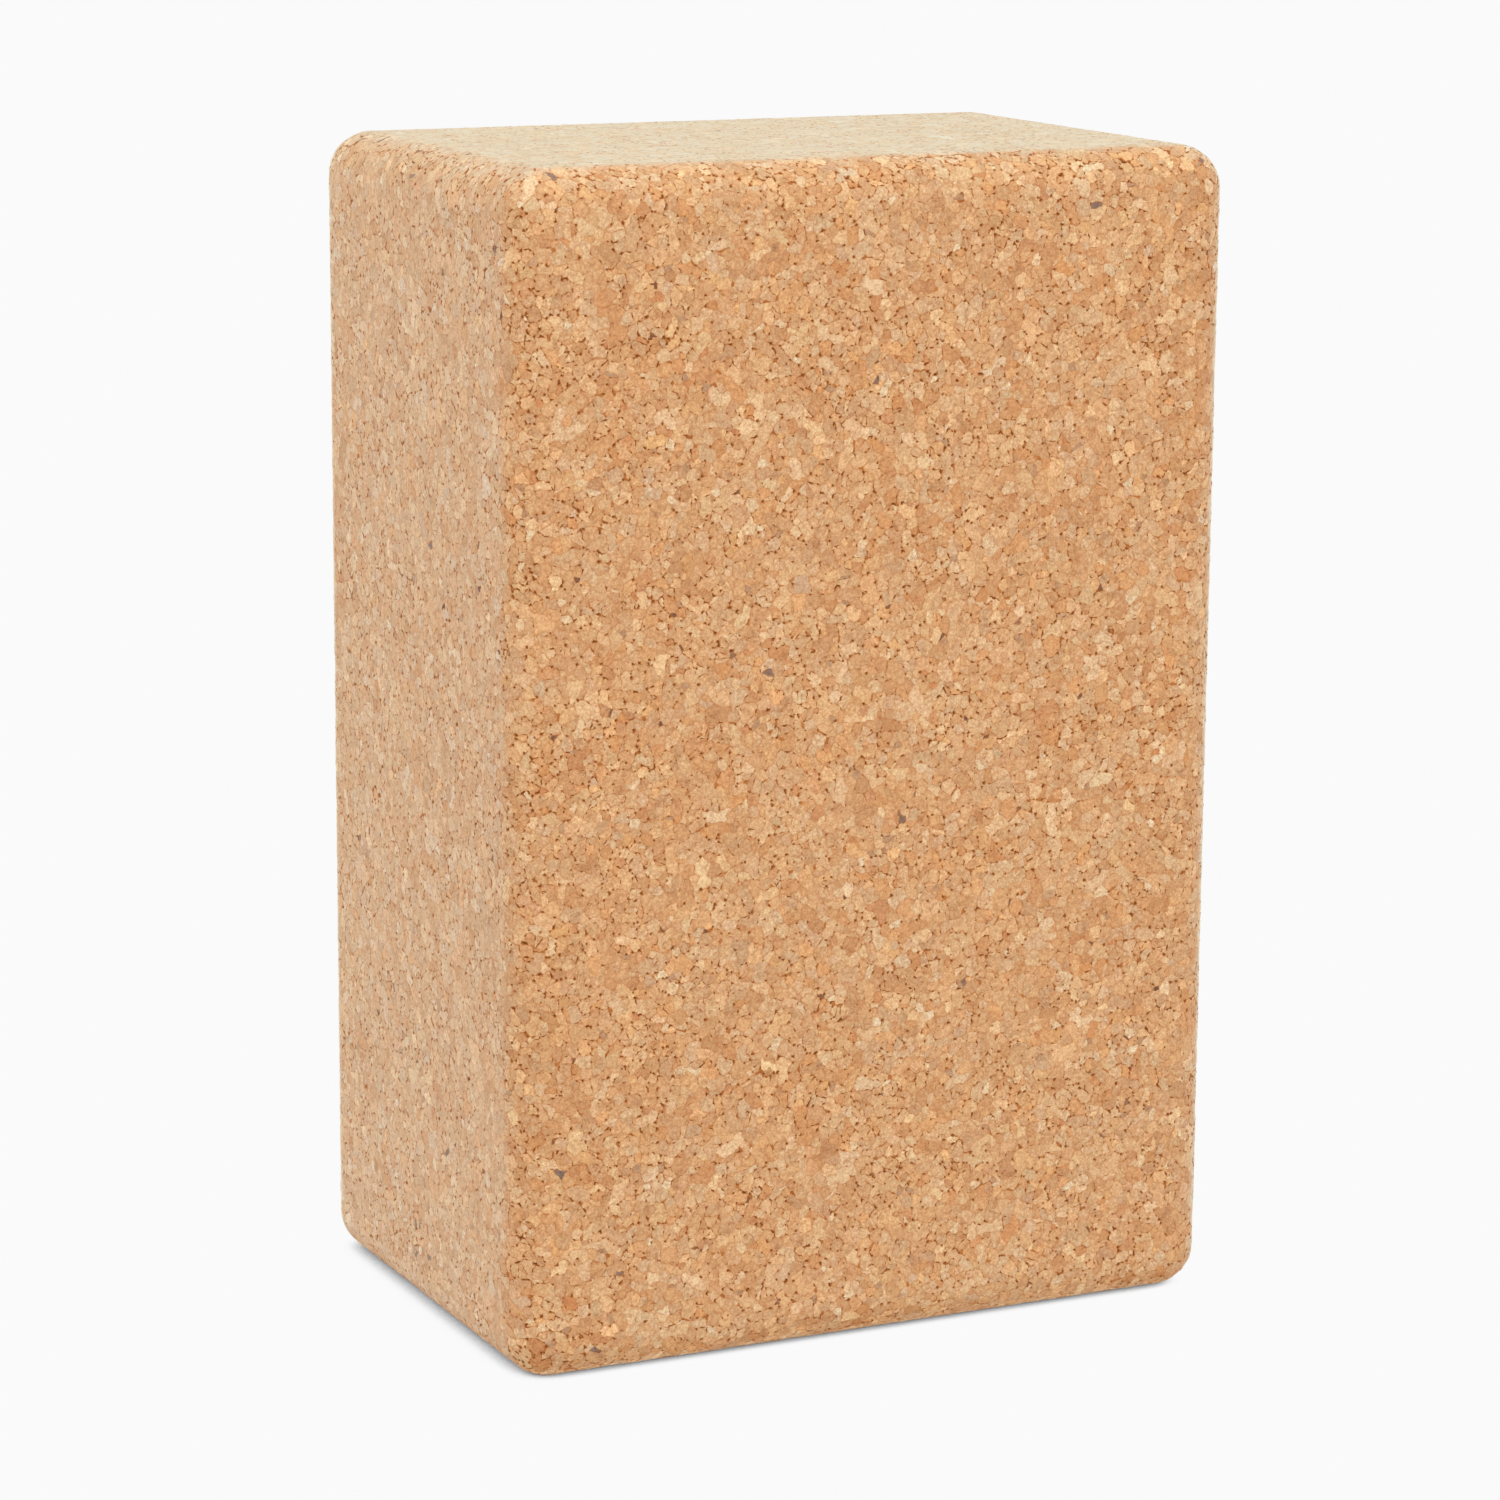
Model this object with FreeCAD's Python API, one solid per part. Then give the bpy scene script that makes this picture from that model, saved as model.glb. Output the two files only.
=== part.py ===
import FreeCAD, Part
import os

# A yoga block of pressed cork: granules bonded into one billet, sawn to size and rounded on
# every edge. It stands on a small end. The origin is the middle of that end, +Z runs up the
# longest side, X across the broad faces and Y through the thickness.

# Driving dimensions, in millimetres
BLOCK_HEIGHT = 228.6  # along Z, the tallest of the three heights that the block is used at
BLOCK_WIDTH = 149.5  # along X, across the broad faces
BLOCK_DEPTH = 101.6  # along Y, the span that a hand grips
EDGE_RADIUS = 8.5  # of the rounding along each edge, and of the ball at each corner


def sawn_billet():
    """The block as it is sawn, with square edges, centred over the origin."""
    low_corner = FreeCAD.Vector(-BLOCK_WIDTH / 2, -BLOCK_DEPTH / 2, 0)
    return Part.makeBox(BLOCK_WIDTH, BLOCK_DEPTH, BLOCK_HEIGHT, low_corner)


def cork_block():
    """The billet with all its edges rounded alike, so that three of them meet in a ball."""
    billet = sawn_billet()
    return billet.makeFillet(EDGE_RADIUS, billet.Edges)


def save(node, shape):
    """Writes one piece, after a look at whether it is the one closed solid it should be."""
    if not shape.isValid() or len(shape.Solids) != 1:
        raise RuntimeError(f"{node} is not one valid solid")
    shape.Solids[0].exportStep(os.path.join("parts", f"{node}.step"))


os.makedirs("parts", exist_ok=True)
save("cork_block", cork_block())
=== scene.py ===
import itertools
import math
from collections import Counter

import bpy
import numpy as np
from mathutils import Matrix, Vector, kdtree, noise


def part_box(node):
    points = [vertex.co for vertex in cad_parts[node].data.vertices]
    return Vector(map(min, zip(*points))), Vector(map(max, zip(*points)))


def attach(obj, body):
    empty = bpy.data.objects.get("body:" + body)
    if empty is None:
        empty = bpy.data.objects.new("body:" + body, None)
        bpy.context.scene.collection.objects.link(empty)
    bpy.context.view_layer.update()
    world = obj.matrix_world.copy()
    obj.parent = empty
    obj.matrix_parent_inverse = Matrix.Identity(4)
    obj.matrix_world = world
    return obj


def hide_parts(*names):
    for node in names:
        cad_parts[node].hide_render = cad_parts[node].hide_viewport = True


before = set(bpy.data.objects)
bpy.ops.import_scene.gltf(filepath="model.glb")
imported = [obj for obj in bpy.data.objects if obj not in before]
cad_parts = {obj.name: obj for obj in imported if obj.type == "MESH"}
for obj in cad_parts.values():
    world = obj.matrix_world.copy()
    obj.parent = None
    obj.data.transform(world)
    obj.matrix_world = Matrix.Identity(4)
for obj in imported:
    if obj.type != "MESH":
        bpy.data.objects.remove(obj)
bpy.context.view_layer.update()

# A yoga block of pressed cork. Its skin is modelled granule by granule: each is a facet of its own on
# the rounded block, with open cracks and pits along part of its border.

# Sizes in metres
MM = 0.001
BLOCK_LOW, BLOCK_HIGH = (np.array(corner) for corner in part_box("cork_block"))
EDGE_RADIUS = 8.5 * MM
CORE_LOW = BLOCK_LOW + EDGE_RADIUS  # the rounded block is this inner box, grown by the edge radius
CORE_HIGH = BLOCK_HIGH - EDGE_RADIUS

# Granules
SEED = 7
GRANULE_RADIUS = 0.56 * MM  # the middle one by count
GRANULE_SPREAD = 0.58  # of the logarithm of the radius
LEAST_RADIUS, MOST_RADIUS = 0.32 * MM, 2.4 * MM
SHELL = 1.6 * MM  # how far above and below the surface granules are thrown
FILL_SHARE = 1.05  # of the shell, if each granule were a cube of its diameter
CLEAR_SHARE = 0.16  # of two granules' radii, the least distance between their middles
WEIGHT_SHARE = 0.55  # of a granule's radius, its pull on the border with its neighbours
PLACING_TRIES = 12
WELD_GAP = 0.10 * MM  # corners nearer than this are one
CHIP_SHARES = (0.70, 0.20, 0.07, 0.03)  # of chips, those of one granule, of two, and so on
BORDER_STEP = 0.5 * MM  # a longer border gets points between its ends
MOST_BORDER_POINTS = 3
BORDER_SHIFT_SHARE = 0.25  # of the step between those points, how far they stray along the border
BORDER_WANDER_SHARE = 0.13  # of a border's length, how far they stray sideways

# Cracks, pits and relief
CRACK_SHARE = 0.20  # of the points along borders, those where a crack is open
PIT_SHARE = 0.23  # of corners, those that are pits
CLUSTER_SIZE = 9 * MM  # of the patches with more cracks
CLUSTER_SWING = 1.2  # how far the patches change both shares
CLUSTER_RANGE = (0.1, 2.4)  # the limits of that, times the shares
BEND_CRACK_GAIN = 2.5  # how many more cracks there are where the surface bends
PIT_GAIN = 2.1  # how much wider a pit is than a crack
LEAST_OPENING = 0.1  # of a crack that is open, next to 1 for a wide one
CRACK_HALF_WIDTH = 0.20 * MM
CRACK_DEPTH = 0.30 * MM
INSET_START = 0.3  # what is added to the opening, for how far granules draw back from it
INSET_RANGE = (0.7, 1.3)  # how unevenly they do so
WIDEST_INSET_SHARE = 0.48  # of the way from a granule's border to its middle
VOID_START, VOID_GAIN = 0.45, 0.6  # how dark a fine crack is, and how much darker a wide one: partly the cork's own brown, partly painted shade
FACE_RELIEF = 0.05 * MM  # how far granules sink below the sanded surface
EDGE_RELIEF = 0.12 * MM  # and how much more they do where it bends
WHOLE_BEND = 0.125  # the bend from which they do so fully
TILT = 0.02  # of chips, in their shading
CRACK_SHADING = 0.5  # how much the sides of a crack show their own slope
MAP_MARGIN = 4 * MM  # around each side of the block on the bake map

# Camera, as the photograph has it
CAMERA_PLACE = (-0.40797, -0.84115, 0.30514)
CAMERA_YAW, CAMERA_PITCH, CAMERA_ROLL = (math.radians(a) for a in (25.68, 11.96, -0.37))
SENSOR_WIDTH = 36.0
FOCAL_LENGTH = 115.17

# Stage and light
WHITE = 0.956  # of the background, as the camera sees it
FLOOR_SIZE = 8.0
AMBIENT = 0.79  # the sky's light on the block
FLOOR_GLOW = 0.80  # and the floor's
SHADOW_REACH = 12 * MM
SHADOW_LEAN = (-0.06, -0.55)  # towards the side that the floor gets most light from
SHADOW_RANGE = (0.14, 0.45)  # the open share of that light, from the darkest floor to the white
SHADOW_LEAST = 0.04  # of the floor's brightness, in the darkest shadow
SHADOW_SAMPLES = 8
LAMP_DISTANCE = 1.6
LAMP_SIZE = 1.2
KEY_WAY, KEY_POWER = (-0.2, -0.8, 0.8), 5.5
TOP_WAY, TOP_POWER = (-0.15, -0.15, 1.0), 5.0


def srgb(red, green, blue):
    """A colour written as a screen shows it, from 0 to 255, in linear light."""
    shares = (c / 255 for c in (red, green, blue))
    return tuple(c / 12.92 if c <= 0.04045 else ((c + 0.055) / 1.055) ** 2.4 for c in shares)


# Colours
CORK_TAN = srgb(223, 171, 119)
PALE_RESPONSE = np.array([0.35, 1.0, 1.7])  # of red, green and blue, from orange cork to pale
SHADE_RESPONSE = np.array([0.65, 1.0, 1.3])  # from dark cork to light
WARM_RESPONSE = np.array([0.8, 0.3, -0.6])  # and from grey cork to ruddy
PALE_SPREAD = 0.13  # these spreads are of the logarithms of the chips' colours
SHADE_SPREAD = 0.095
WARM_SPREAD = 0.045
GREEN_SPREAD = 0.014
PALEST = 1.3  # times the pale spread, the palest chips
ODD_CHIPS = (
    # share of all chips, the largest, colour, how far the pale veil leaves them bare
    (0.015, 4.0 * MM**2, srgb(238, 206, 162), 0.0),
    (0.015, 2.0 * MM**2, srgb(212, 142, 90), 0.4),
    (0.03, 2.5 * MM**2, srgb(190, 146, 108), 0.3),
    (0.024, 1.2 * MM**2, srgb(122, 88, 70), 1.0),
    (0.004, 3.0 * MM**2, srgb(132, 108, 94), 0.6),
    (0.35, 0.7 * MM**2, srgb(184, 112, 56), 1.0),
)
TOP_LIGHT_RESPONSE = (0.02, 0.12, 0.18)  # painted light from above: how much paler and yellower the sides that face up are made
TOP_LIGHT_RANGE = (0.1, 0.7)  # of the normal's rise, from none of that to all
RIM_ORANGE = srgb(206, 134, 72)
RIM_SHARE = 0.6
RIM_WIDTH = 0.40 * MM
LINE_BROWN = srgb(174, 101, 46)
LINE_SHARE = 0.85
LINE_WIDTH = 0.14 * MM
# Inside cracks and pits: partly the cork's own brown, partly painted shade in the recess
CRACK_BROWN_AND_SHADE = srgb(176, 104, 46)
PIT_BROWN_AND_SHADE = srgb(110, 56, 22)
HAIR_BROWN = srgb(184, 111, 53)
HAIR_SHARE = 0.6
HAIR_WIDTH = 0.025  # in the values of its noise
CRACK_RANGE = (0.05, 0.45)  # how far into a crack the brown and painted shade begins, and where it is whole
PIT_RANGE = (0.4, 1.0)

# The pale veil of fine fuzz on the cork
FUZZ = (0.96, 0.985, 0.775)
FUZZ_PALE_RESPONSE = (-0.1, 0.3, 0.8)  # how it follows the colour of what it covers
FUZZ_SHADE_RESPONSE = (0.0, 0.45, 0.8)
FUZZ_CHIP_RESPONSE = np.array([0.05, 0.2, 0.4])
FUZZ_ROUGHNESS = 0.35
VEIL_RANGE, VEIL_WEIGHTS = (0.55, 0.80), (0.82, 1.0)  # it thickens with the slant that it is seen at
SHOWN_RANGE, SHOWN_SHARES = (0.60, 0.80), (1.0, 0.35)  # and then shows less of what it covers
BARE_GAIN = 5.0  # how soon it ends at a crack
UNDERSIDE_SHADE_RANGE = (-0.6, -0.1)  # painted shade on the sides that face down; of the normal's rise, from no veil to a whole one
GLOSS_RANGE = (0.5, 0.1)  # under the veil, and where the cork is bare or, as painted shade, faces down

# Patterns in the cork
CHIP_SHIFT = 0.5  # moves each chip to a place of its own in the textures
STREAK_STRETCH = 0.85  # below 1, and the higher, the longer the streaks
STREAK_SIZE = 0.55 * MM
BLOTCH_SIZE = 0.9 * MM
PATCH_SIZE = 2.2 * MM
HAIR_SIZE = 1.4 * MM
CRUMB_SIZE = 0.8 * MM
CRUMB_WARP = 0.5 * MM
DUST_SIZE = 0.42 * MM
WARM_SIZE = 0.9 * MM
NOISE_RANGE = (0.25, 0.75)  # where most of a noise lies
BLOTCH_SWING = 0.20  # how far each pattern changes the colour
STREAK_SWING = 0.18
DUST_SWING = 0.32
WARM_SWING = 0.09
CRUMB_SWING = 0.13
PATCH_RANGE, PATCH_SHADES = (0.32, 0.48), (-0.22, 0.04)
CRUMBLY_RANGE = (0.3, 0.7)  # of the chips, from whole ones to those all in crumbs
SEAM_WIDTH, SEAM_SHARE = 0.10, 0.45  # the width next to 1 for a crumb
HAIR_RANGE = (0.45, 0.6)  # of the streaks, from no hairs to all
RIM_RANGE = (0.45, 0.62)  # of the patches, from no rims to all
LINE_RANGE = (0.53, 0.40)  # of the blotches, from no lines to all
ROUGHNESS_RANGE = (0.45, 0.55)
BUMP_STRENGTH, BUMP_HEIGHT = 0.35, 0.06 * MM


# The rounded block's surface


def outward(points):
    """The block's outward normals at points near its surface."""
    away = points - np.clip(points, CORE_LOW, CORE_HIGH)
    return away / np.linalg.norm(away, axis=-1, keepdims=True)


def on_surface(points):
    """The points of the rounded block nearest to these."""
    return np.clip(points, CORE_LOW, CORE_HIGH) + EDGE_RADIUS * outward(points)


def surface_patches():
    """The flats, rounded edges and ball corners: the sides that each lies on, and its area."""
    spans = CORE_HIGH - CORE_LOW
    patches = []
    for sides in itertools.product((-1, 0, 1), repeat=3):
        turned = sum(map(abs, sides))
        if turned:
            flat_area = math.prod(span for span, side in zip(spans, sides) if not side)
            bend_area = (1, math.pi / 2 * EDGE_RADIUS, math.pi / 2 * EDGE_RADIUS**2)[turned - 1]
            patches.append((np.array(sides), flat_area * bend_area))
    return patches


def scatter(rng, count):
    """Random points spread evenly over the block."""
    patches = surface_patches()
    areas = np.array([area for _, area in patches])
    picks = rng.choice(len(patches), count, p=areas / areas.sum())
    sides = np.array([sides for sides, _ in patches])[picks]
    core = rng.uniform(CORE_LOW, CORE_HIGH, (count, 3))
    core = np.where(sides > 0, CORE_HIGH, np.where(sides < 0, CORE_LOW, core))
    way = np.abs(rng.normal(size=(count, 3))) * sides
    return core + EDGE_RADIUS * way / np.linalg.norm(way, axis=1, keepdims=True)


# Granules and the borders between them


def pack_granules(rng):
    """Granules thrown into a shell around the surface, the largest first, none too close to another.

    Gives their feet on the surface, and the square of their pull on it: less, the farther off they lie."""
    volume = 2 * SHELL * sum(area for _, area in surface_patches())
    mean_cube = (2 * GRANULE_RADIUS) ** 3 * math.exp(4.5 * GRANULE_SPREAD**2)  # of log-normal diameters
    count = int(FILL_SHARE * volume / mean_cube)
    radii = GRANULE_RADIUS * np.exp(GRANULE_SPREAD * rng.normal(size=count))
    radii = -np.sort(-np.clip(radii, LEAST_RADIUS, MOST_RADIUS))
    feet = scatter(rng, count * PLACING_TRIES)
    heights = rng.uniform(-SHELL, SHELL, (len(feet), 1))
    tries = (feet + heights * outward(feet)).reshape(count, PLACING_TRIES, 3).tolist()
    room = 2 * CLEAR_SHARE * MOST_RADIUS
    shelves = {}
    kept, places = [], []
    around = list(itertools.product((-1, 0, 1), repeat=3))
    for number, radius in enumerate(radii.tolist()):
        for attempt, (x, y, z) in enumerate(tries[number]):
            i, j, k = int(x // room), int(y // room), int(z // room)
            clear = True
            for a, b, c in around:
                for u, v, w, other in shelves.get((i + a, j + b, k + c), ()):
                    least = CLEAR_SHARE * (radius + other)
                    if (x - u) ** 2 + (y - v) ** 2 + (z - w) ** 2 < least * least:
                        clear = False
                        break
                if not clear:
                    break
            if clear:
                shelves.setdefault((i, j, k), []).append((x, y, z, radius))
                kept.append(number)
                places.append(number * PLACING_TRIES + attempt)
                break
    pulls = (WEIGHT_SHARE * radii[kept]) ** 2 - heights[places, 0] ** 2
    return feet[places], pulls


def cut(outline, u, v, reach, label):
    """Cuts a convex outline along u x + v y = reach. Each corner carries the label of the edge after it."""
    kept = []
    for (x0, y0, edge), (x1, y1, _) in zip(outline, outline[1:] + outline[:1]):
        start = u * x0 + v * y0 - reach
        end = u * x1 + v * y1 - reach
        if start <= 0:
            kept.append((x0, y0, edge))
        if (start <= 0) != (end <= 0):
            t = start / (start - end)
            kept.append((x0 + t * (x1 - x0), y0 + t * (y1 - y0), label if start <= 0 else edge))
    return kept


def tangents(normals):
    """Two unit vectors across each normal."""
    pole = np.where(np.abs(normals[:, 2:]) < 0.8, (0.0, 0.0, 1.0), (1.0, 0.0, 0.0))
    first = np.cross(pole, normals)
    first /= np.linalg.norm(first, axis=1, keepdims=True)
    return first, np.cross(normals, first)


def granule_outlines(feet, pulls):
    """For each granule, its corners in order: the two neighbours that it meets there, and the place."""
    tree = kdtree.KDTree(len(feet))
    for k, foot in enumerate(feet):
        tree.insert(foot, k)
    tree.balance()
    first, second = tangents(outward(feet))
    owners, pairs, places = [], [], []
    span = 3 * MOST_RADIUS
    for i, foot in enumerate(feet):
        near = np.array([n for _, n, _ in tree.find_range(foot, span) if n != i])
        step = feet[near] - foot
        along, across = step @ first[i], step @ second[i]
        reach = ((step**2).sum(1) + pulls[i] - pulls[near]) / 2
        order = np.argsort(reach / np.hypot(along, across))
        outline = [(-span, -span, -1), (span, -span, -1), (span, span, -1), (-span, span, -1)]
        far = 2 * span
        cuts = zip(*(values[order].tolist() for values in (near, along, across, reach)))
        for label, u, v, limit in cuts:
            if limit > far * math.hypot(u, v):
                break
            outline = cut(outline, u, v, limit, label)
            if len(outline) < 3:
                outline = []
                break
            far = max(math.hypot(x, y) for x, y, _ in outline)
        for (x, y, edge), (_, _, before) in zip(outline, outline[-1:] + outline[:-1]):
            owners.append(i)
            pairs.append((before, edge))
            places.append(foot + x * first[i] + y * second[i])
    return np.array(owners), np.array(pairs), np.array(places)


def settle_corners(feet, pulls, triples, places):
    """Moves each corner to the point of the surface that lies midway between its three granules."""
    own = feet[triples[:, 0]]
    for _ in range(4):
        places = on_surface(places)
        first, second = tangents(outward(places))
        rows, gaps = [], []
        for n in (1, 2):
            other = feet[triples[:, n]]
            gap = ((places - other) ** 2).sum(1) - pulls[triples[:, n]]
            gap -= ((places - own) ** 2).sum(1) - pulls[triples[:, 0]]
            slope = 2 * (other - own)
            rows.append(np.stack([(slope * first).sum(1), (slope * second).sum(1)], 1))
            gaps.append(gap)
        (a, b), (c, d) = rows[0].T, rows[1].T
        whole = a * d - b * c
        whole = np.where(np.abs(whole) < 1e-16, np.inf, whole)
        along = (gaps[0] * d - gaps[1] * b) / whole
        across = (gaps[1] * a - gaps[0] * c) / whole
        size = np.hypot(along, across)
        brake = np.minimum(1, LEAST_RADIUS / np.maximum(size, 1e-12))[:, None]
        places = places + brake * (along[:, None] * first + across[:, None] * second)
    return on_surface(places)


def weld(points, gap):
    """For each point, the first point of those that lie within the gap of it."""
    tree = kdtree.KDTree(len(points))
    for k, point in enumerate(points):
        tree.insert(point, k)
    tree.balance()
    target = np.arange(len(points))
    for k, point in enumerate(points):
        target[k] = min(n for _, n, _ in tree.find_range(point, gap))
    while (target[target] != target).any():
        target = target[target]
    return target


def granule_borders(feet, pulls):
    """The mosaic of granules: the places of its corners, and each granule's corners in order."""
    owners, pairs, places = granule_outlines(feet, pulls)
    triples = np.concatenate([owners[:, None], pairs], 1)
    named, first_use, names = np.unique(np.sort(triples, 1), axis=0, return_index=True, return_inverse=True)
    corners = settle_corners(feet, pulls, named, places[first_use])
    target = weld(corners, WELD_GAP)
    ids = target[names.ravel()]
    starts = np.flatnonzero(np.diff(owners, prepend=-1))
    loops = []
    for loop in np.split(ids, starts[1:]):
        loop = loop[loop != np.roll(loop, 1)]
        if len(loop) >= 3:
            loops.append(loop.tolist())
    return corners, loops + gaps_between(loops)


def gaps_between(loops):
    """The few slivers that no granule claims, as loops of corners."""
    steps = Counter(step for loop in loops for step in zip(loop, loop[1:] + loop[:1]))
    ahead = {corner: [] for step in steps for corner in step}
    for (a, b), uses in steps.items():
        ahead[b] += [a] * (uses - steps[b, a])
    slivers = []
    for start in ahead:
        path = [start]
        while ahead[path[-1]]:
            corner = ahead[path[-1]].pop()
            if corner in path:
                turn = path.index(corner)
                slivers.append(path[turn:])
                del path[turn + 1 :]
            else:
                path.append(corner)
    return slivers


# Chips, cracks and the mesh


class Mosaic:
    """The granules' borders as flat arrays, with a row for each step around each granule."""

    def __init__(self, rng):
        self.points, loops = granule_borders(*pack_granules(rng))
        self.number_borders(loops)
        self.join_chips(rng)
        self.add_border_points(rng, loops)
        self.straighten_folds()
        near, far, fans = self.fans()
        area = np.linalg.norm(fans, axis=1)
        height = area / np.linalg.norm(far - near, axis=1)
        self.inner_reach = self.cell_means(height[:, None])[:, 0]
        self.area = np.bincount(self.cell, area / 2, self.count)

    def number_borders(self, loops):
        """Gives each border a number, and notes the two granules that share it."""
        self.count = len(loops)
        self.border_of = {}
        sides = []
        for cell, loop in enumerate(loops):
            for a, b in zip(loop, loop[1:] + loop[:1]):
                number = self.border_of.setdefault((min(a, b), max(a, b)), len(sides))
                if number == len(sides):
                    sides.append([cell, cell])
                else:
                    sides[number][1] = cell
        self.border_sides = np.array(sides)
        self.border_ends = np.array(list(self.border_of))
        ends = self.points[self.border_ends]
        self.border_length = np.linalg.norm(ends[:, 1] - ends[:, 0], axis=1)

    def join_chips(self, rng):
        """Makes chips of one granule or more, each next one the free neighbour with the longest border."""
        beside = [[] for _ in range(self.count)]
        for (a, b), length in zip(self.border_sides.tolist(), self.border_length.tolist()):
            beside[a].append((length, b))
            beside[b].append((length, a))
        sizes = rng.choice(len(CHIP_SHARES), self.count, p=CHIP_SHARES)
        self.chip = np.full(self.count, -1)
        for start in rng.permutation(self.count).tolist():
            if self.chip[start] >= 0:
                continue
            self.chip[start] = start
            open_borders = list(beside[start])
            for _ in range(sizes[start]):
                free = [(length, other) for length, other in open_borders if self.chip[other] < 0]
                if not free:
                    break
                other = max(free)[1]
                self.chip[other] = start
                open_borders += beside[other]

    def add_border_points(self, rng, loops):
        """Puts points that stray sideways along the longer borders."""
        counts = np.minimum(self.border_length // BORDER_STEP, MOST_BORDER_POINTS).astype(int)
        self.point_border = np.repeat(np.arange(len(counts)), counts)
        first = np.cumsum(counts) - counts
        rank = np.arange(len(self.point_border)) - first[self.point_border]
        shift = rng.uniform(-BORDER_SHIFT_SHARE, BORDER_SHIFT_SHARE, len(rank))
        share = (rank + 1 + shift) / (counts[self.point_border] + 1)
        start, end = (self.points[self.border_ends[self.point_border, n]] for n in (0, 1))
        middle = start + share[:, None] * (end - start)
        sideways = np.cross(outward(middle), end - start)
        stray = BORDER_WANDER_SHARE * rng.uniform(-1, 1, len(rank))
        self.corner_count = len(self.points)
        self.points = on_surface(np.concatenate([self.points, middle + stray[:, None] * sideways]))
        self.straight = on_surface(middle)
        cells, points, borders = [], [], []
        for cell, loop in enumerate(loops):
            for a, b in zip(loop, loop[1:] + loop[:1]):
                border = self.border_of[min(a, b), max(a, b)]
                low = self.corner_count + first[border]
                between = range(low, low + counts[border])
                row = [a, *(between if a < b else reversed(between))]
                points += row
                cells += [cell] * len(row)
                borders += [border] * len(row)
        self.cell, self.point, self.border = map(np.array, (cells, points, borders))
        last = np.flatnonzero(np.diff(self.cell, append=self.count))
        self.after = np.arange(len(cells)) + 1
        self.after[last] = np.concatenate([[0], last[:-1] + 1])

    def fans(self):
        """The ends of each step around a granule, and the normal of its triangle with the middle."""
        self.middles = on_surface(self.cell_means(self.points[self.point]))
        near, far = self.points[self.point], self.points[self.point[self.after]]
        return near, far, np.cross(far - near, self.middles[self.cell] - near)

    def straighten_folds(self):
        """Takes the stray out of the borders of those granules that it folds."""
        for _ in range(3):
            _, _, fans = self.fans()
            folded = (fans * outward(self.middles)[self.cell]).sum(1) <= 0
            bent = self.point[np.isin(self.cell, self.cell[folded])]
            bent = bent[bent >= self.corner_count]
            self.points[bent] = self.straight[bent - self.corner_count]

    def cell_means(self, values):
        """The mean over each granule's corners."""
        counts = np.bincount(self.cell, minlength=self.count)
        sums = [np.bincount(self.cell, column, self.count) for column in values.T]
        return np.stack(sums, 1) / counts[:, None]


def ripple(points, size):
    """A smooth noise between about -1 and 1, with bumps of this size."""
    return np.array([noise.noise(Vector(point) / size) for point in points])


def open_cracks(rng, mosaic):
    """How far open each border point is: 0 for a closed one, about 1 for a wide crack, more for a pit."""
    count = len(mosaic.points)
    chips = mosaic.chip[mosaic.border_sides]
    apart = chips[:, 0] != chips[:, 1]
    loose = np.zeros(count, bool)
    loose[mosaic.corner_count :] = apart[mosaic.point_border]
    for n in (0, 1):
        loose[mosaic.border_ends[apart, n]] = True
    bend = 1 - np.abs(outward(mosaic.points)).max(1)
    share = np.where(np.arange(count) < mosaic.corner_count, PIT_SHARE, CRACK_SHARE)
    cluster = np.clip(1 + CLUSTER_SWING * ripple(mosaic.points, CLUSTER_SIZE), *CLUSTER_RANGE)
    share = share * cluster * (1 + BEND_CRACK_GAIN * bend)
    opened = loose & (rng.random(count) < share)
    wide = np.where(np.arange(count) < mosaic.corner_count, PIT_GAIN, 1) * (1 + bend)
    return np.where(opened, wide * (LEAST_OPENING + rng.random(count) ** 2), 0)


def unrolled(points, normals, axis):
    """Places on the block rolled out flat around one of its sides."""
    across = [n for n in range(3) if n != axis]
    tilt = np.delete(normals, axis, 1)
    lean = np.linalg.norm(tilt, axis=1, keepdims=True)
    angle = np.arctan2(lean, np.abs(normals[:, axis : axis + 1]))
    core = np.clip(points, CORE_LOW, CORE_HIGH)[:, across]
    return core + EDGE_RADIUS * angle * tilt / np.maximum(lean, 1e-9)


def bake_map(points, cells, middles):
    """Places for all corners of all faces on one square: the six sides, in three rows of two."""
    facing = outward(middles)
    axis = np.abs(facing).argmax(1)[cells]
    high = np.take_along_axis(facing[cells], axis[:, None], 1)[:, 0] > 0
    normals = outward(points)
    spread = EDGE_RADIUS * math.pi / 4 + MAP_MARGIN
    places = np.zeros((len(points), 2))
    floor = 0
    for row, turned in ((1, False), (0, True), (2, False)):
        for side in (False, True):
            mine = (axis == row) & (high == side)
            flat = unrolled(points[mine], normals[mine], row)
            low = np.delete(CORE_LOW, row) - spread
            span = np.delete(CORE_HIGH, row) + spread - low
            flat -= low
            if turned:
                flat, span = flat[:, ::-1], span[::-1]
            places[mine] = flat + (side * span[0], floor)
        floor += span[1]
    return places / (2 * (CORE_HIGH - CORE_LOW + 2 * spread)[2])


def back_to_back(faces):
    """Which of these faces have the same corners as another one."""
    _, same, uses = np.unique(np.sort(faces, 1), axis=0, return_inverse=True, return_counts=True)
    return uses[same.ravel()] > 1


def chip_sinks(rng, mosaic):
    """How far granules lie below the sanded surface: alike all over a chip, and more where it bends."""
    bend = 1 - np.abs(outward(mosaic.middles)).max(1)
    most = FACE_RELIEF + EDGE_RELIEF * np.minimum(1, bend / WHOLE_BEND)
    return rng.random(mosaic.count)[mosaic.chip] * most


def border_bottoms(mosaic, gap, sink):
    """Places of the border points: down in an open crack, or else level with the lowest granule beside."""
    lowest = np.zeros(len(gap))
    np.maximum.at(lowest, mosaic.point, sink[mosaic.cell])
    depth = np.where(gap > 0, CRACK_DEPTH * np.sqrt(gap), lowest)
    return mosaic.points - depth[:, None] * outward(mosaic.points)


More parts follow.
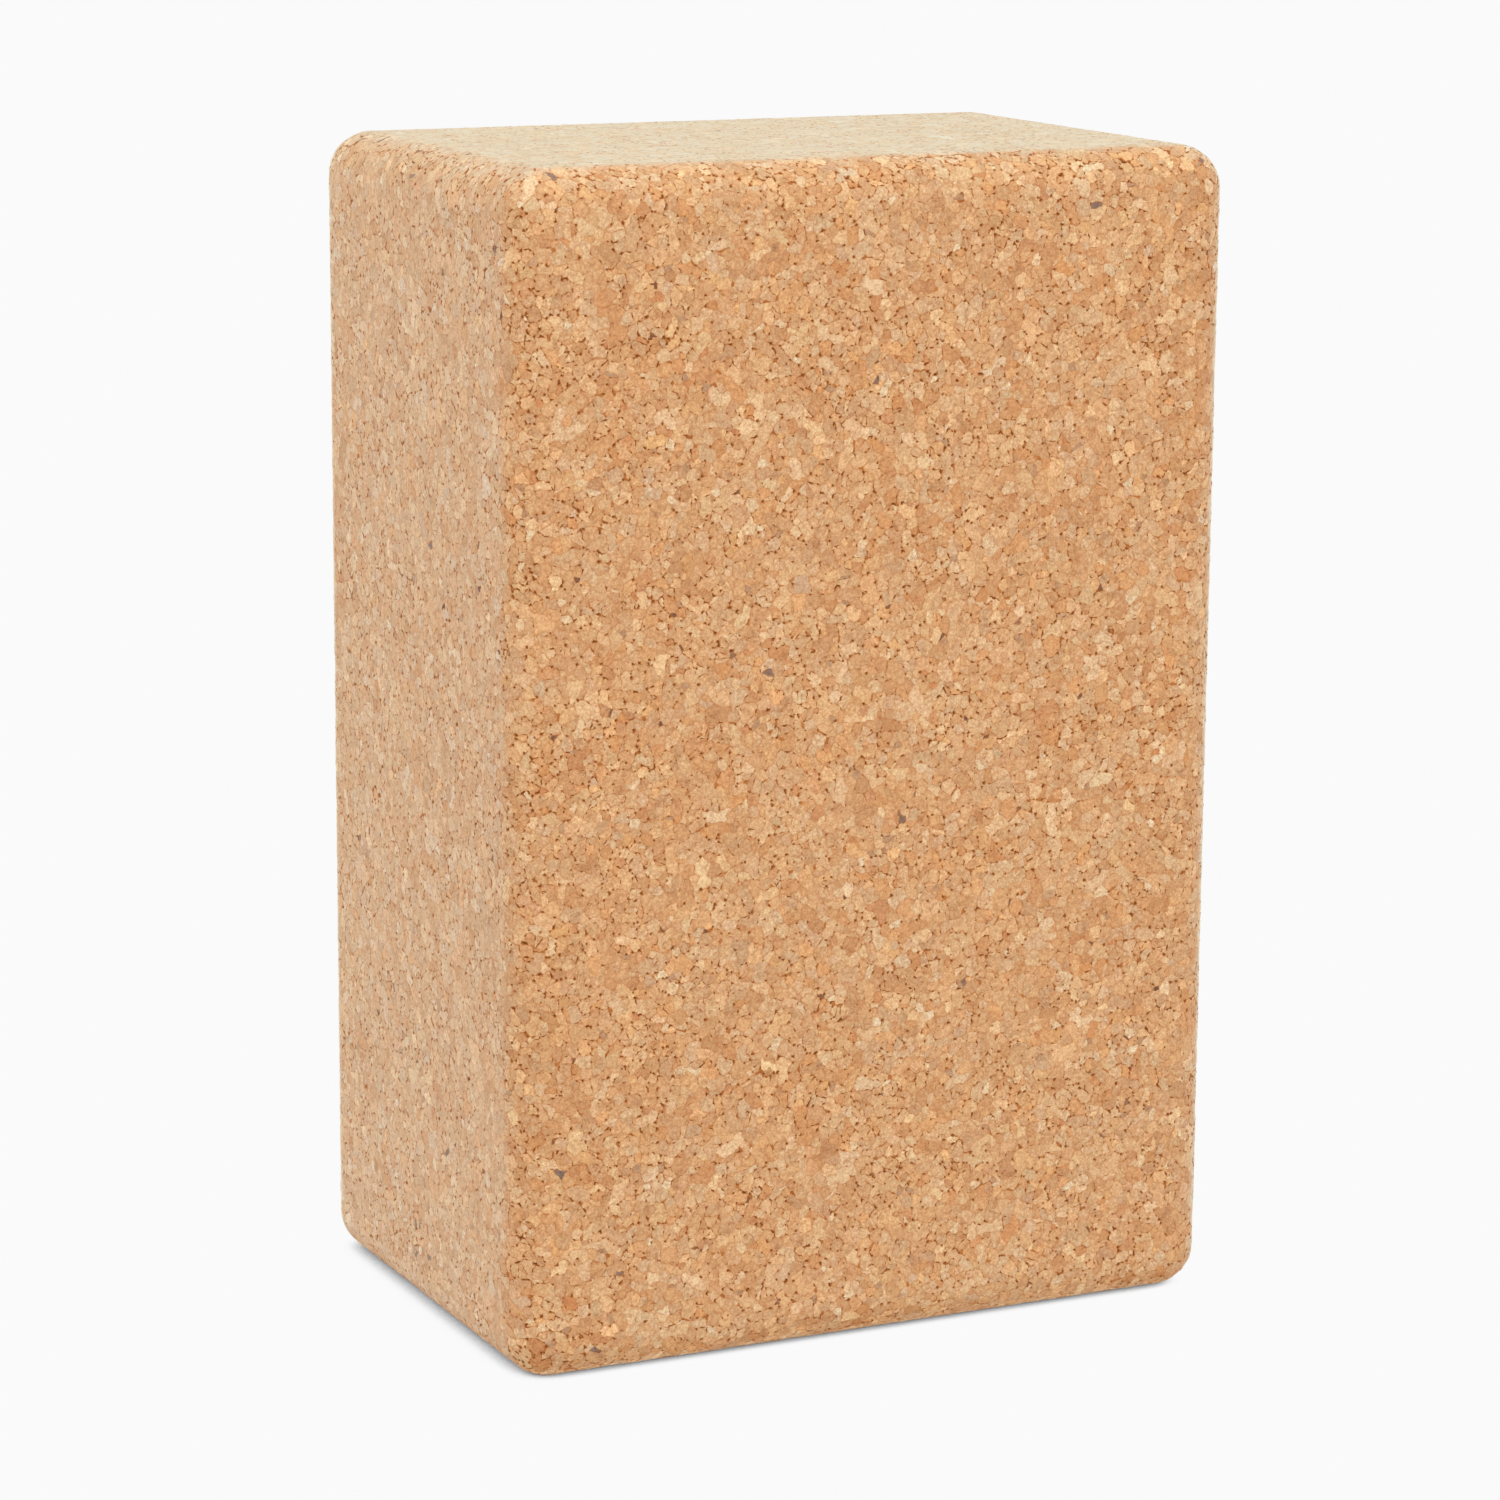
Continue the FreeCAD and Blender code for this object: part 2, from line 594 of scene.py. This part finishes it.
def crack_rims(rng, mosaic, gap, sink):
    """Where granules draw back from open cracks: which rows do, and the places of their rims."""
    opened = np.flatnonzero(gap[mosaic.point] > 0)
    cell, point = mosaic.cell[opened], mosaic.point[opened]
    inward = mosaic.middles[cell] - mosaic.points[point]
    inset = CRACK_HALF_WIDTH * (INSET_START + gap[point])
    inset = inset * rng.uniform(*INSET_RANGE, len(opened))
    share = np.minimum(inset / np.linalg.norm(inward, axis=1), WIDEST_INSET_SHARE)
    rims = on_surface(mosaic.points[point] + share[:, None] * inward)
    return opened, rims - sink[cell, None] * outward(rims)


def skin_faces(mosaic, opened):
    """Triangles of the caps, then of the cracks' sides, the granule of each, and the number of caps.

    Points count from the border points, through the granules' middles, to the rims."""
    cell, point, after = mosaic.cell, mosaic.point, mosaic.after
    middle = len(mosaic.points) + cell
    rim = point.copy()
    rim[opened] = len(mosaic.points) + mosaic.count + np.arange(len(opened))
    caps = np.stack([middle, rim, rim[after]], 1)
    real = ~back_to_back(caps)
    far = rim[after] != point[after]
    near = rim != point
    far_sides = np.stack([rim[after], rim, point[after]], 1)[far]
    near_sides = np.stack([rim, point, point[after]], 1)[near]
    faces = np.concatenate([caps[real], far_sides, near_sides])
    owners = np.concatenate([cell[real], cell[far], cell[near]])
    return faces, owners, real.sum()


def border_reach(mosaic):
    """How far each border point lies inside its chip: not at all where another chip begins."""
    chips = mosaic.chip[mosaic.border_sides]
    inner = np.full(len(mosaic.points), np.inf)
    for n in (0, 1):
        own = np.where(chips[:, 0] == chips[:, 1], mosaic.inner_reach[mosaic.border_sides[:, n]], 0)
        np.minimum.at(inner, mosaic.border_ends[:, 0], own)
        np.minimum.at(inner, mosaic.border_ends[:, 1], own)
        np.minimum.at(inner, np.arange(mosaic.corner_count, len(inner)), own[mosaic.point_border])
    return inner


def corner_normals(points, faces, lean, cap_count):
    """Shading normals at the faces' corners: each chip leans a little, and cracks show their sides."""
    shading = outward(points[faces.ravel()]) + np.repeat(lean, 3, 0)
    a, b, c = (points[faces[:, n]] for n in range(3))
    flat = np.cross(b - a, c - a)
    flat /= np.maximum(np.linalg.norm(flat, axis=1, keepdims=True), 1e-15)
    shading[3 * cap_count :] += CRACK_SHADING * np.repeat(flat[cap_count:], 3, 0)
    return shading / np.linalg.norm(shading, axis=1, keepdims=True)


def granule_mesh(rng):
    """The block's skin: a cap for each granule, and the sides of the cracks between them."""
    mosaic = Mosaic(rng)
    gap = open_cracks(rng, mosaic)
    sink = chip_sinks(rng, mosaic)
    bottoms = border_bottoms(mosaic, gap, sink)
    tops = mosaic.middles - sink[:, None] * outward(mosaic.middles)
    opened, rims = crack_rims(rng, mosaic, gap, sink)
    points = np.concatenate([bottoms, tops, rims])
    faces, owners, cap_count = skin_faces(mosaic, opened)
    void, reach = np.zeros((2, len(points)))
    # How dark each open border point is made: partly the cork's brown, partly painted shade in the crack
    void[: len(bottoms)] = np.where(gap > 0, np.minimum(1, VOID_START + VOID_GAIN * gap), 0)
    reach[: len(bottoms) + len(tops)] = np.concatenate([border_reach(mosaic), mosaic.inner_reach])
    used, faces = np.unique(faces, return_inverse=True)
    faces = faces.reshape(-1, 3)
    points, void, reach = points[used], void[used], reach[used]
    lean = rng.normal(size=(mosaic.count, 3))[mosaic.chip] * TILT

    mesh = bpy.data.meshes.new("cork_block")
    mesh.from_pydata(points, [], faces, shade_flat=False)
    layer = mesh.uv_layers.new(name="OFBake")
    places = bake_map(points[faces.ravel()], np.repeat(owners, 3), mosaic.middles)
    layer.uv.foreach_set("vector", places.astype(np.float32).ravel())
    chip_values(rng, mesh, mosaic, owners)
    mesh.attributes.new("void", "FLOAT", "POINT").data.foreach_set("value", void)
    mesh.attributes.new("reach", "FLOAT", "POINT").data.foreach_set("value", reach)
    mesh.normals_split_custom_set(corner_normals(points, faces, lean[owners], cap_count))
    mesh.update()
    return mesh


def chip_values(rng, mesh, mosaic, owners):
    """What sets each chip apart: its colour, how crumbly it is and the way that its grain runs."""
    count = mosaic.count
    pale, shade, warm, green = rng.normal(size=(4, count, 1))
    change = PALE_SPREAD * np.minimum(pale, PALEST) * PALE_RESPONSE + SHADE_SPREAD * shade * SHADE_RESPONSE
    colors = np.array(CORK_TAN) * np.exp(change + WARM_SPREAD * warm * WARM_RESPONSE)
    colors[:, 1] *= np.exp(GREEN_SPREAD * green[:, 0])
    pick = rng.random(count)
    area = np.bincount(mosaic.chip, mosaic.area, count)
    bare = np.zeros(count)
    for share, largest, color, bareness in ODD_CHIPS:
        odd = (pick >= 0) & (pick < share) & (area < largest)
        colors[odd] = color
        bare[odd] = bareness
        pick = pick - share
    grain = rng.normal(size=(count, 3))
    grain /= np.linalg.norm(grain, axis=1, keepdims=True)
    whose = mosaic.chip[owners]
    for name, values in (("chip_color", colors), ("grain", grain)):
        data = mesh.attributes.new(name, "FLOAT_VECTOR", "FACE").data
        data.foreach_set("vector", values[whose].astype(np.float32).ravel())
    for name, values in (("crumbly", rng.random(count)), ("bare", bare)):
        data = mesh.attributes.new(name, "FLOAT", "FACE").data
        data.foreach_set("value", values[whose].astype(np.float32))


# Materials


class Nodes:
    """Adds nodes to a tree and links what they take in."""

    def __init__(self, tree):
        self.tree = tree
        tree.nodes.clear()

    def add(self, kind, inputs=(), **settings):
        node = self.tree.nodes.new("ShaderNode" + kind)
        for name, value in settings.items():
            setattr(node, name, value)
        for name, value in dict(inputs).items():
            if isinstance(value, bpy.types.NodeSocket):
                self.tree.links.new(value, node.inputs[name])
            else:
                node.inputs[name].default_value = value
        return node

    def math(self, operation, first, second=0.0, clamp=False):
        return self.add("Math", {0: first, 1: second}, operation=operation, use_clamp=clamp).outputs[0]

    def vector(self, operation, first, second=(0, 0, 0), third=(0, 0, 0), output=0):
        return self.add("VectorMath", {0: first, 1: second, 2: third}, operation=operation).outputs[output]

    def blend(self, share, first, second, blend_type="MIX"):
        inputs = {0: share, 6: first, 7: second}
        return self.add("Mix", inputs, data_type="RGBA", blend_type=blend_type).outputs[2]

    def span(self, value, low, high, to_low=0.0, to_high=1.0, smooth=False):
        inputs = {0: value, 1: low, 2: high, 3: to_low, 4: to_high}
        kind = "SMOOTHSTEP" if smooth else "LINEAR"
        return self.add("MapRange", inputs, interpolation_type=kind).outputs[0]

    def stretch(self, way, share):
        return self.add("VectorMath", {0: way, 3: share}, operation="SCALE").outputs[0]

    def attribute(self, name, output="Fac"):
        return self.add("Attribute", attribute_name=name).outputs[output]

    def noise(self, place, size, detail=2.0, roughness=0.5):
        inputs = {"Vector": place, "Scale": 1 / size, "Detail": detail, "Roughness": roughness}
        return self.add("TexNoise", inputs).outputs["Fac"]

    def swing(self, noise, size):
        return self.span(noise, *NOISE_RANGE, -size, size)


def new_tree(name):
    material = bpy.data.materials.new(name)
    material.use_nodes = True
    return material, Nodes(material.node_tree)


def crumbs(nodes, place):
    """The finer grains that some chips fall into: how light each is, and the brown seams between them."""
    inputs = {"Vector": place, "Scale": 1 / CRUMB_SIZE, "Detail": 2.0}
    wander = nodes.add("TexNoise", inputs).outputs["Color"]
    place = nodes.vector("MULTIPLY_ADD", wander, (CRUMB_WARP,) * 3, place)
    inputs = {"Vector": place, "Scale": 1 / CRUMB_SIZE}
    crumbly = nodes.span(nodes.attribute("crumbly"), *CRUMBLY_RANGE)
    light = nodes.add("TexVoronoi", inputs).outputs["Color"]
    light = nodes.span(light, 0.0, 1.0, -CRUMB_SWING, CRUMB_SWING)
    edge = nodes.add("TexVoronoi", inputs, feature="DISTANCE_TO_EDGE").outputs["Distance"]
    seam = nodes.span(edge, 0.0, SEAM_WIDTH, SEAM_SHARE, 0.0)
    return nodes.math("MULTIPLY", crumbly, light), nodes.math("MULTIPLY", crumbly, seam)


def cork_patterns(nodes):
    """The patterns in the cork. All but the patches and crumbs start anew in each chip."""
    fixed_place = nodes.add("TexCoord").outputs["Object"]
    grain = nodes.attribute("grain", "Vector")
    place = nodes.vector("ADD", fixed_place, nodes.stretch(grain, CHIP_SHIFT))
    along = nodes.math("MULTIPLY", nodes.vector("DOT_PRODUCT", place, grain, output=1), -STREAK_STRETCH)
    drawn_out = nodes.vector("ADD", place, nodes.stretch(grain, along))
    crumb, seam = crumbs(nodes, fixed_place)
    return {
        "streak": nodes.noise(drawn_out, STREAK_SIZE, 3.0, 0.6),
        "blotch": nodes.noise(place, BLOTCH_SIZE, 4.0, 0.65),
        "dust": nodes.noise(place, DUST_SIZE, 2.0, 0.6),
        "patch": nodes.noise(fixed_place, PATCH_SIZE, 3.0, 0.6),
        "warm": nodes.noise(place, WARM_SIZE, 2.0),
        "hair": nodes.noise(place, HAIR_SIZE, 3.0, 0.6),
        "crumb": crumb,
        "seam": seam,
    }


def brown_marks(nodes, pattern, color):
    """This colour with hairs, rims and lines, with cracks and pits darkened partly as painted shade, and
    how far these keep the veil off.
    """
    ridge = nodes.math("ABSOLUTE", nodes.math("SUBTRACT", pattern["hair"], 0.5))
    hair = nodes.span(ridge, 0.0, HAIR_WIDTH, HAIR_SHARE, 0.0)
    hair = nodes.math("MULTIPLY", hair, nodes.span(pattern["streak"], *HAIR_RANGE))
    hair = nodes.math("MAXIMUM", hair, pattern["seam"])
    reach = nodes.attribute("reach")
    rim = nodes.span(reach, 0.0, RIM_WIDTH, RIM_SHARE, 0.0)
    rim = nodes.math("MULTIPLY", rim, nodes.span(pattern["patch"], *RIM_RANGE))
    line = nodes.span(reach, 0.0, LINE_WIDTH, LINE_SHARE, 0.0)
    line = nodes.math("MULTIPLY", line, nodes.span(pattern["blotch"], *LINE_RANGE))
    void = nodes.attribute("void")
    # Cracks and pits: the cork's brown deepened by painted shade in the recesses
    crack = nodes.span(void, *CRACK_RANGE, smooth=True)
    pit = nodes.span(void, *PIT_RANGE, smooth=True)
    shares = (hair, rim, line, crack, pit)
    browns = (HAIR_BROWN, RIM_ORANGE, LINE_BROWN, CRACK_BROWN_AND_SHADE, PIT_BROWN_AND_SHADE)
    for share, brown in zip(shares, browns):
        color = nodes.blend(share, color, (*brown, 1))
    return color, nodes.math("MAXIMUM", nodes.math("MULTIPLY", void, BARE_GAIN, clamp=True), line)


def fuzz_veil(nodes, chip_color, pale, shade, bare):
    """The pale veil of fuzz, thicker at a slant, with the gloss that it leaves. Bare spots have none, and
    as painted shade neither do the sides that face down.
    """
    facing = nodes.add("LayerWeight", {"Blend": 0.5}).outputs["Facing"]
    shown = nodes.span(facing, *SHOWN_RANGE, *SHOWN_SHARES)
    bare = nodes.math("MULTIPLY", bare, shown)
    # Painted shade: the sides that face down count as bare, so they lose the veil and its gloss
    bare = nodes.math("MAXIMUM", bare, nodes.span(upward(nodes), *UNDERSIDE_SHADE_RANGE, 1.0, 0.0))
    tint = nodes.vector("MULTIPLY_ADD", chip_color, FUZZ_CHIP_RESPONSE / CORK_TAN, -FUZZ_CHIP_RESPONSE)
    tint = nodes.vector("MULTIPLY_ADD", pale, FUZZ_PALE_RESPONSE, tint)
    tint = nodes.vector("MULTIPLY_ADD", shade, FUZZ_SHADE_RESPONSE, tint)
    tint = nodes.vector("MULTIPLY_ADD", tint, shown, FUZZ)
    weight = nodes.span(facing, *VEIL_RANGE, *VEIL_WEIGHTS)
    weight = nodes.math("MULTIPLY", weight, nodes.span(bare, 0.0, 1.0, 1.0, 0.0))
    gloss = nodes.span(bare, 0.0, 1.0, *GLOSS_RANGE)
    fuzz = {"Sheen Weight": weight, "Sheen Roughness": FUZZ_ROUGHNESS, "Sheen Tint": tint}
    return {"Specular IOR Level": gloss, **fuzz}


def upward(nodes):
    """How far the surface faces up, from -1 to 1."""
    normal = nodes.add("NewGeometry").outputs["Normal"]
    return nodes.add("SeparateXYZ", {0: normal}).outputs["Z"]


def cork():
    """Cork: chips with a colour and a grain of their own, brown cracks, and the pale veil over them."""
    material, nodes = new_tree("cork")
    pattern = cork_patterns(nodes)
    pale = nodes.math("ADD", nodes.swing(pattern["blotch"], BLOTCH_SWING), pattern["crumb"])
    shade = nodes.swing(pattern["streak"], STREAK_SWING)
    shade = nodes.math("ADD", shade, nodes.swing(pattern["dust"], DUST_SWING))
    shade = nodes.math("ADD", shade, nodes.span(pattern["patch"], *PATCH_RANGE, *PATCH_SHADES))
    warm = nodes.swing(pattern["warm"], WARM_SWING)
    # Painted light from above: the sides that face up are made paler and yellower
    lit_from_above = nodes.span(upward(nodes), *TOP_LIGHT_RANGE)
    tint = nodes.vector("MULTIPLY_ADD", pale, PALE_RESPONSE, (1, 1, 1))
    tint = nodes.vector("MULTIPLY_ADD", shade, SHADE_RESPONSE, tint)
    tint = nodes.vector("MULTIPLY_ADD", warm, WARM_RESPONSE, tint)
    tint = nodes.vector("MULTIPLY_ADD", lit_from_above, TOP_LIGHT_RESPONSE, tint)
    chip_color = nodes.attribute("chip_color", "Vector")
    color, bare = brown_marks(nodes, pattern, nodes.vector("MULTIPLY", chip_color, tint))
    bare = nodes.math("MAXIMUM", bare, nodes.attribute("bare"))
    veil = fuzz_veil(nodes, chip_color, pale, shade, bare)
    rough = nodes.span(pattern["dust"], *NOISE_RANGE, *ROUGHNESS_RANGE)
    grit = {"Height": pattern["dust"], "Strength": BUMP_STRENGTH, "Distance": BUMP_HEIGHT}
    bump = nodes.add("Bump", grit).outputs[0]
    inputs = {"Base Color": color, "Roughness": rough, "IOR": 1.5, "Normal": bump, **veil}
    surface = nodes.add("BsdfPrincipled", inputs).outputs[0]
    nodes.add("OutputMaterial", {"Surface": surface})
    return material


def seen_directly(nodes):
    """1 for rays that show the stage itself, 0 for those that carry its light to the block."""
    path = nodes.add("LightPath").outputs
    seen = nodes.math("MAXIMUM", path["Is Camera Ray"], path["Is Glossy Ray"])
    return nodes.math("MAXIMUM", seen, path["Is Transmission Ray"])


def stage_floor():
    """A white floor that keeps the thin shadow under the block's rounded edge."""
    material, nodes = new_tree("stage_floor")
    up = nodes.add("NewGeometry").outputs["Normal"]
    way = nodes.vector("NORMALIZE", nodes.vector("ADD", up, (*SHADOW_LEAN, 0.0)))
    inputs = {"Distance": SHADOW_REACH, "Normal": way}
    open_share = nodes.add("AmbientOcclusion", inputs, samples=SHADOW_SAMPLES).outputs["AO"]
    contact = nodes.span(open_share, *SHADOW_RANGE, SHADOW_LEAST, 1.0, smooth=True)
    level = nodes.span(seen_directly(nodes), 0.0, 1.0, FLOOR_GLOW, WHITE)
    strength = nodes.math("MULTIPLY", contact, level)
    glow = nodes.add("Emission", {"Color": (1, 1, 1, 1), "Strength": strength}).outputs[0]
    nodes.add("OutputMaterial", {"Surface": glow})
    return material


# Scene


def add_object(name, data):
    item = bpy.data.objects.new(name, data)
    bpy.context.scene.collection.objects.link(item)
    return item


def add_block():
    block = add_object("cork_granules", granule_mesh(np.random.default_rng(SEED)))
    block.data.materials.append(cork())
    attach(block, "root")
    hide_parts("cork_block")


def add_floor():
    half = FLOOR_SIZE / 2
    corners = [(-half, -half, 0), (half, -half, 0), (half, half, 0), (-half, half, 0)]
    mesh = bpy.data.meshes.new("stage_floor")
    mesh.from_pydata(corners, [], [(0, 1, 2, 3)])
    mesh.materials.append(stage_floor())
    add_object("stage_floor", mesh)


def add_sky():
    """Soft white light from all around, on a background that the camera sees as white."""
    world = bpy.data.worlds.new("sky")
    bpy.context.scene.world = world
    world.use_nodes = True
    nodes = Nodes(world.node_tree)
    light = nodes.add("Background", {"Color": (1, 1, 1, 1), "Strength": AMBIENT}).outputs[0]
    white = nodes.add("Background", {"Color": (1, 1, 1, 1), "Strength": WHITE}).outputs[0]
    mixed = nodes.add("MixShader", {0: seen_directly(nodes), 1: light, 2: white}).outputs[0]
    nodes.add("OutputWorld", {"Surface": mixed})


def add_lamp(name, way, power):
    """A large soft lamp that faces the middle of the block from this way."""
    lamp = bpy.data.lights.new(name, "AREA")
    lamp.size = LAMP_SIZE
    lamp.energy = power
    item = add_object(name, lamp)
    target = Vector((0, 0, BLOCK_HIGH[2] / 2))
    away = Vector(way).normalized()
    item.location = target + LAMP_DISTANCE * away
    item.rotation_euler = away.to_track_quat("Z", "Y").to_euler()


def add_camera():
    """The photograph's view of the block."""
    camera = bpy.data.cameras.new("camera")
    camera.sensor_width = SENSOR_WIDTH
    camera.lens = FOCAL_LENGTH
    item = add_object("camera", camera)
    level = Vector((math.sin(CAMERA_YAW), math.cos(CAMERA_YAW), 0)) * math.cos(CAMERA_PITCH)
    ahead = level - Vector((0, 0, math.sin(CAMERA_PITCH)))
    right = ahead.cross(Vector((0, 0, 1))).normalized()
    down = ahead.cross(right)
    x = math.cos(CAMERA_ROLL) * right + math.sin(CAMERA_ROLL) * down
    y = math.sin(CAMERA_ROLL) * right - math.cos(CAMERA_ROLL) * down
    turn = Matrix((x, y, -ahead)).transposed().to_4x4()
    item.matrix_world = Matrix.Translation(CAMERA_PLACE) @ turn
    bpy.context.scene.camera = item


bpy.context.scene.view_settings.view_transform = "Standard"
add_block()
add_floor()
add_sky()
add_lamp("key", KEY_WAY, KEY_POWER)
add_lamp("top", TOP_WAY, TOP_POWER)
add_camera()
